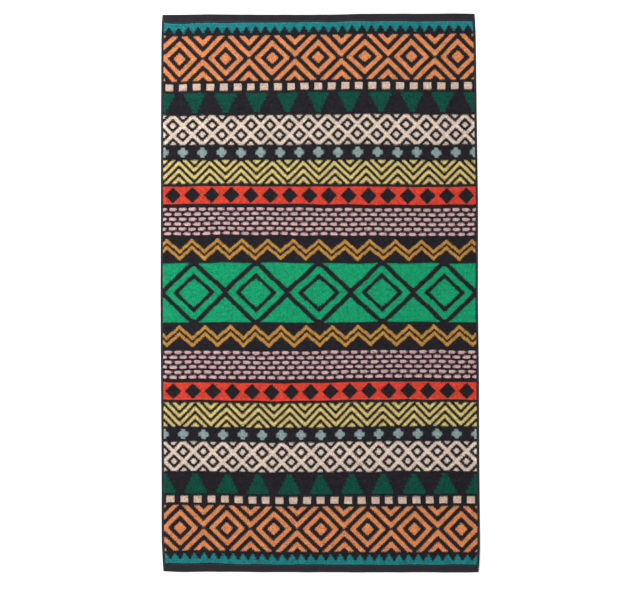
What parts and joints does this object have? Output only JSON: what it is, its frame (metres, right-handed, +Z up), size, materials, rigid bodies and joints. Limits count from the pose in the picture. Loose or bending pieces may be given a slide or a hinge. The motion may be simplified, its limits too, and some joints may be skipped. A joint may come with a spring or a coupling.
{
  "type": "bath towel",
  "caption": "Flat rectangular bath towel of terry cloth with a raised pile field, smooth hems at both ends and narrow side hems, lying face up.",
  "frame": {"origin": "on the surface that the towel lies on, under the middle of the towel", "axes": "+X across the width to the right, +Y along the length to the top end, +Z up out of the face"},
  "size_m": [0.8, 1.4, 0.0094],
  "materials": {
    "terry": "matt cotton pile, charcoal ground"
  },
  "bodies": {
    "root": {"towel": "terry"}
  },
  "joints": []
}
